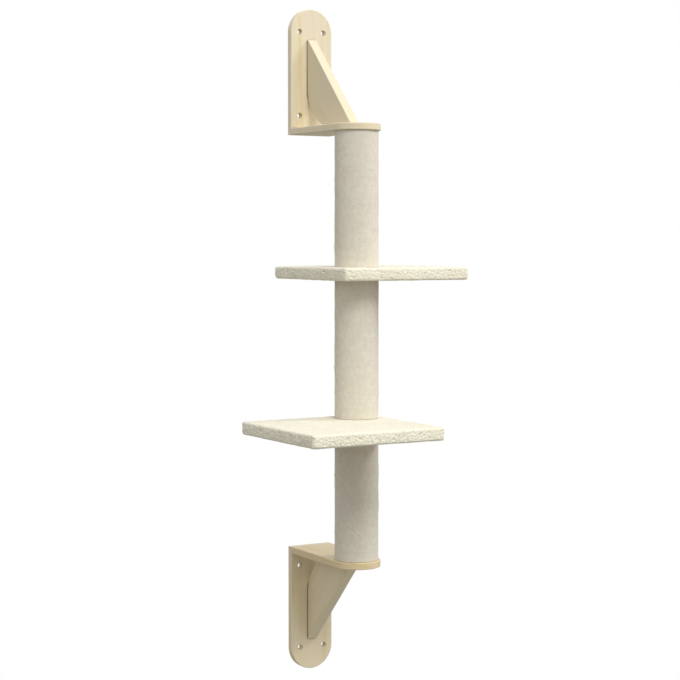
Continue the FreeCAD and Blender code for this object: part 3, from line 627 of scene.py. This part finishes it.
def cardboard():
    """Spiral wound paper tube: brown kraft paper with short fibres, and the thin dark line of
    the outer strip's edge climbing round it."""
    material, tree, out = empty_finish("wound_cardboard")
    place = add(tree, "TexCoord").outputs["Object"]
    about_axis = add(tree, "VectorMath", {0: place, 1: (0, -POST_AXIS_Y, 0)})
    parts = add(tree, "SeparateXYZ", {0: about_axis})
    turn = add(tree, "Math", {0: parts.outputs["Y"], 1: parts.outputs["X"]}, operation="ARCTAN2")
    turns = add(tree, "Math", {0: turn, 1: 1 / (2 * math.pi)}, operation="MULTIPLY")
    climb = add(tree, "Math", {0: parts.outputs["Z"], 1: 1 / STRIP_WIDTH, 2: turns},
                operation="MULTIPLY_ADD")
    edge = add(tree, "Math", {0: climb}, operation="FRACT")
    long_place = add(tree, "VectorMath", {0: place, 1: (3, 3, 1)}, operation="DIVIDE")
    fibre = add(tree, "TexNoise", {"Vector": long_place, "Scale": 1 / COARSE_FIBRE, "Detail": 3.0})
    paper = tinted(tree, "#B08C63", "#96714A", fibre, 0.35, 0.7, 0.6)
    paper = tinted(tree, paper, "#6E5234", edge, 0.985, 0.99, 0.7)
    return surface_of(material, tree, out, paper, [(fibre, 0.06 * MM, 1.0)], {"Roughness": 0.85})


def zinc_plate():
    """Bright zinc plated steel, drawn or rolled, with a clear passivated coat: a cool grey metal
    with cloudy patches and a satin gloss that fine drawing marks spread."""
    material, tree, out = empty_finish("zinc_plated_steel")
    place = add(tree, "TexCoord").outputs["Object"]
    clouds = add(tree, "TexNoise", {"Vector": place, "Scale": 1 / (3.0 * MM), "Detail": 3.0})
    marks = add(tree, "TexNoise", {"Vector": place, "Scale": 1 / ZINC_MARK})
    metal = tinted(tree, "#BFC1BE", "#A9ABA6", clouds, 0.35, 0.65)
    gloss = add(tree, "MapRange", {"Value": clouds, "To Min": 0.28, "To Max": 0.45})
    return surface_of(material, tree, out, metal, [(marks, 0.01 * MM, 1.0)],
                      {"Metallic": 1.0, "Roughness": gloss})


def turned_brass():
    """Turned brass inserts: warm yellow metal with fine rings from the lathe, a little dulled
    in patches."""
    material, tree, out = empty_finish("turned_brass")
    place = add(tree, "TexCoord").outputs["Object"]
    dull = add(tree, "TexNoise", {"Vector": place, "Scale": 1 / (2.5 * MM)})
    lathe = add(tree, "TexWave", {"Vector": place, "Scale": wave_scale(LATHE_MARK)},
                wave_type="BANDS", bands_direction="Z").outputs["Fac"]
    metal = tinted(tree, "#D0AC63", "#A98845", dull, 0.35, 0.7)
    gloss = add(tree, "MapRange", {"Value": dull, "To Min": 0.22, "To Max": 0.42})
    return surface_of(material, tree, out, metal, [(lathe, 0.01 * MM, 1.0)],
                      {"Metallic": 1.0, "Roughness": gloss})


def woven_sisal():
    """Tightly woven, bleached sisal: off-white matt yarns that differ a little in tone from row
    to row and patch to patch, with painted shade grey-brown in the gaps, each yarn a bundle of
    coarse glossy fibres a few tenths of a millimetre thick. The yarns are in the mesh, and the fibres
    drawn here."""
    material, tree, out = empty_finish("woven_sisal")
    place = add(tree, "TexCoord").outputs["Object"]
    cloth = add(tree, "UVMap", uv_map="cloth")
    depth = add(tree, "Attribute", attribute_name="depth").outputs["Fac"]

    def drawn_out(across, up):
        """The place on the cloth with marks drawn out that many times round and up the post."""
        return add(tree, "VectorMath", {0: cloth, 1: (across, up, 1)}, operation="DIVIDE")

    rows = add(tree, "TexNoise", {"Vector": drawn_out(9, 1), "Scale": 1 / WEFT_PITCH,
                                  "Detail": 1.0})
    slow = add(tree, "TexNoise", {"Vector": place, "Scale": 1 / (32 * MM)})
    patches = add(tree, "TexNoise", {"Vector": drawn_out(1.2, 1.5), "Scale": 1 / (6 * MM)})
    fibres = add(tree, "TexNoise", {"Vector": drawn_out(12, 1), "Scale": 1 / (0.32 * MM),
                                    "Detail": 3.0})
    yarn = tinted(tree, "#E0DACC", "#D7D0BF", rows, 0.3, 0.7, 0.5)
    yarn = tinted(tree, yarn, "#DAD1C4", slow, 0.35, 0.7, 0.5)
    yarn = tinted(tree, yarn, "#CBC2AF", patches, 0.36, 0.64, 0.36)
    yarn = tinted(tree, yarn, "#C2B8A2", fibres, 0.45, 0.8, 0.35)
    # Painted shade: the yarns turn grey-brown towards the crevices between them, by the mesh's depth.
    yarn = tinted(tree, yarn, "#B5A98F", depth, 0.6, 0.0, 0.3)
    yarn = tinted(tree, yarn, "#F1ECDD", depth, 2.0, 2.5)
    return surface_of(material, tree, out, yarn, [(fibres, 0.10 * MM, 0.8)],
                      {"Roughness": 0.82, "IOR": 1.5, "Specular IOR Level": 0.3,
                       "Sheen Weight": 0.12, "Sheen Roughness": 0.5})


def curly_plush():
    """Short pile plush in cream, its fibres curled into small tufts: very matt and soft edged,
    with a pale sheen where it is seen flat on, and painted shade that makes it warmer and darker
    down between the tufts. The tufts are in the mesh, and the curls of its fibres are drawn here,
    coarser than single fibres, which wouldn't show."""
    material, tree, out = empty_finish("cream_plush")
    place = add(tree, "TexCoord").outputs["Object"]
    depth = add(tree, "Attribute", attribute_name="depth").outputs["Fac"]
    curl = add(tree, "TexNoise", {"Vector": place, "Scale": 1 / (1.3 * MM), "Distortion": 1.4})
    fluff = add(tree, "TexNoise", {"Vector": place, "Scale": 1 / (0.45 * MM)})
    slow = add(tree, "TexNoise", {"Vector": place, "Scale": 1 / (40 * MM), "Detail": 1.0})
    pile = tinted(tree, "#EEE9D6", "#E9E2CA", slow, 0.35, 0.65, 0.6)
    pile = tinted(tree, pile, "#D8D0B5", curl, 0.5, 0.3, 0.3)
    # Painted shade: the pile turns warmer and darker down between the tufts, by the mesh's depth.
    pile = tinted(tree, pile, "#BFB592", depth, 0.5, 0.0, 0.75)
    return surface_of(material, tree, out, pile,
                      [(curl, 0.5 * MM, 0.8), (fluff, 0.15 * MM, 0.6)],
                      {"Roughness": 0.95, "Specular IOR Level": 0.15,
                       "Sheen Weight": 0.3, "Sheen Roughness": 0.45})


# The grain of each kind of board, as the turn that brings the trunk's axis onto it.
SLOPE = math.radians(44)                     # of the braces' grain against Z
ALONG_Z = (0, 0, 0)                          # the wall plates
ALONG_Y = (math.pi / 2, 0, 0)                # the shelves, out from the wall
ALONG_SLOPE = (SLOPE, 0, 0)                  # the upper brace's long edge
DOWN_SLOPE = (-SLOPE, 0, 0)                  # and the lower brace's
NO_STREAK = 1.0                              # far off any board
PLATE_JOINT_SHADE, SHELF_JOINT_SHADE = 0.85, 0.2           # painted shade beside a joint; a shelf has little, so the post paints no dark ring on it
# For each board: its grain, the middle of the trunk, its warmth, its streak and how dark its painted
# joint shade is.
BOARDS = {
    "upper_wall_plate": (ALONG_Z, (0.004, 0.058, 0), 0.1, -0.0225, PLATE_JOINT_SHADE),
    # Warmth 0.4: partly this board's own tone, partly painted shade for the shade under the lower
    # platform.
    "lower_wall_plate": (ALONG_Z, (-0.012, 0.063, 0), 0.4, NO_STREAK, PLATE_JOINT_SHADE),
    "upper_shelf": (ALONG_Y, (0.018, -0.155, 0), 0.3, NO_STREAK, SHELF_JOINT_SHADE),
    # Warmth 1.0: partly this board's own tone, partly painted shade for the shade under the lower
    # platform.
    "lower_shelf": (ALONG_Y, (-0.013, -0.73, 0), 1.0, -0.012, SHELF_JOINT_SHADE),
    "upper_gusset": (ALONG_SLOPE, (0.075, 0.013, 0), 0.2, NO_STREAK, PLATE_JOINT_SHADE),
    "lower_gusset": (DOWN_SLOPE, (-0.075, 0.618, 0), 0.3, NO_STREAK, PLATE_JOINT_SHADE),
}

SISAL = woven_sisal()
PLUSH = curly_plush()
FINISHES = {"dowel_wood": beech(), "plug_wood": plywood(), "platform_wood": particle_board(),
            "cardboard": cardboard(), "zinc_plated_steel": zinc_plate(),
            "insert_brass": turned_brass(), "sisal_cloth": SISAL, "cream_plush": PLUSH}
for entry in frame["record"]["subparts"]:
    node = entry["node"]
    frame["nodes"][node].data.materials[0] = (
        pine(node, *BOARDS[node]) if node in BOARDS else FINISHES[entry["material_slot"]])


# ---------------------------------------------------------------------------- the cloth pieces

seeded = np.random.default_rng(SEED)
for which in ("upper", "middle", "lower"):
    sisal_sleeve(which, SISAL, seeded)
for which in ("upper", "lower"):
    plush_cover(which, PLUSH, seeded)


# ---------------------------------------------------------------------------- floor and light

FLOOR_LEVEL = -1.45
FLOOR_HALF = 30.0
WHITE_FROM, WHITE_TO = 1.3, 1.9      # the floor turns into the white background between these
FILL = 0.68                          # strength of the soft light from all round
LIT_POINT = (0, -0.17, -0.45)        # the object's middle, which the lamps face


def floor_finish():
    """Matt white studio paper. Seen directly it turns into a white background further out. Its
    bounce on the object is that of a light grey."""
    material, tree, out = empty_finish("studio_paper")
    place = add(tree, "TexCoord").outputs["Object"]
    radius = add(tree, "VectorMath", {0: place}, operation="LENGTH").outputs["Value"]
    far = add(tree, "MapRange", {"Value": radius, "From Min": WHITE_FROM, "From Max": WHITE_TO},
              interpolation_type="SMOOTHSTEP")
    paper = add(tree, "BsdfDiffuse", {"Color": "#EDEDEB"})
    bounce = add(tree, "BsdfDiffuse", {"Color": "#9E9E9A"})
    white = add(tree, "Emission", {"Strength": 1.0})
    seen = add(tree, "MixShader", {0: far, 1: paper, 2: white})
    path = add(tree, "LightPath")
    both = add(tree, "MixShader", {0: path.outputs["Is Camera Ray"], 1: bounce, 2: seen})
    tree.links.new(both.outputs[0], out.inputs["Surface"])
    return material


def studio_floor():
    """A level square sheet of paper far below the lower bracket."""
    mesh = bpy.data.meshes.new("studio_floor")
    mesh.from_pydata([(x * FLOOR_HALF, y * FLOOR_HALF, FLOOR_LEVEL)
                      for x, y in ((-1, -1), (1, -1), (1, 1), (-1, 1))], [], [(0, 1, 2, 3)])
    mesh.materials.append(floor_finish())
    floor = bpy.data.objects.new("studio_floor", mesh)
    bpy.context.scene.collection.objects.link(floor)


def studio_world():
    """Even soft fill from all round, and plain white where the background is seen directly, in a
    gloss or through a gap."""
    world = bpy.data.worlds.new("studio")
    world.use_nodes = True
    tree = world.node_tree
    tree.nodes.clear()
    path = add(tree, "LightPath")
    seen = add(tree, "Math", {0: path.outputs["Is Camera Ray"], 1: path.outputs["Is Glossy Ray"]},
               operation="MAXIMUM")
    seen = add(tree, "Math", {0: seen, 1: path.outputs["Is Transmission Ray"]},
               operation="MAXIMUM")
    strength = add(tree, "MapRange", {"Value": seen, "To Min": FILL, "To Max": 1.0})
    light = add(tree, "Background", {"Color": "#FFFFFF", "Strength": strength})
    add(tree, "OutputWorld", {"Surface": light}, is_active_output=True)
    bpy.context.scene.world = world


def area_light(name, azimuth, elevation, distance, size, power):
    """A round soft light that faces the object, from azimuth degrees to the right of straight
    ahead and elevation degrees up."""
    light = bpy.data.lights.new(name, "AREA")
    light.shape = "DISK"
    light.size = size
    light.energy = power
    lamp = bpy.data.objects.new(name, light)
    bpy.context.scene.collection.objects.link(lamp)
    turn, lift = math.radians(azimuth), math.radians(elevation)
    lamp.location = (LIT_POINT[0] + distance * math.cos(lift) * math.sin(turn),
                     LIT_POINT[1] - distance * math.cos(lift) * math.cos(turn),
                     LIT_POINT[2] + distance * math.sin(lift))
    lamp.rotation_euler = (math.pi / 2 - lift, 0, turn)


studio_floor()
studio_world()
area_light("front_softbox", azimuth=-5, elevation=45, distance=8.0, size=3.3, power=324)
area_light("right_softbox", azimuth=66, elevation=41, distance=8.0, size=1.9, power=213)


# ---------------------------------------------------------------------------- camera

FRAME_PIXELS = 680
LENS_PIXELS = 1737.7                 # focal length in pixels of the frame
SHIFT_PIXELS = -30
SENSOR_WIDTH = 36                    # mm
EYE = (-1.3983, -2.5005, -0.2696)
EYE_DROP, EYE_TURN = 2.334, -30.256  # degrees down from level, and round from facing the wall
FAR_CLIP = 100.0

camera = bpy.data.cameras.new("camera")
camera.sensor_width = SENSOR_WIDTH
camera.lens = LENS_PIXELS / FRAME_PIXELS * SENSOR_WIDTH
camera.shift_y = SHIFT_PIXELS / FRAME_PIXELS
camera.clip_end = FAR_CLIP
eye = bpy.data.objects.new("camera", camera)
eye.location = EYE
eye.rotation_euler = (math.radians(90 - EYE_DROP), 0, math.radians(EYE_TURN))
bpy.context.scene.collection.objects.link(eye)
bpy.context.scene.camera = eye
bpy.context.scene.view_settings.view_transform = "Standard"
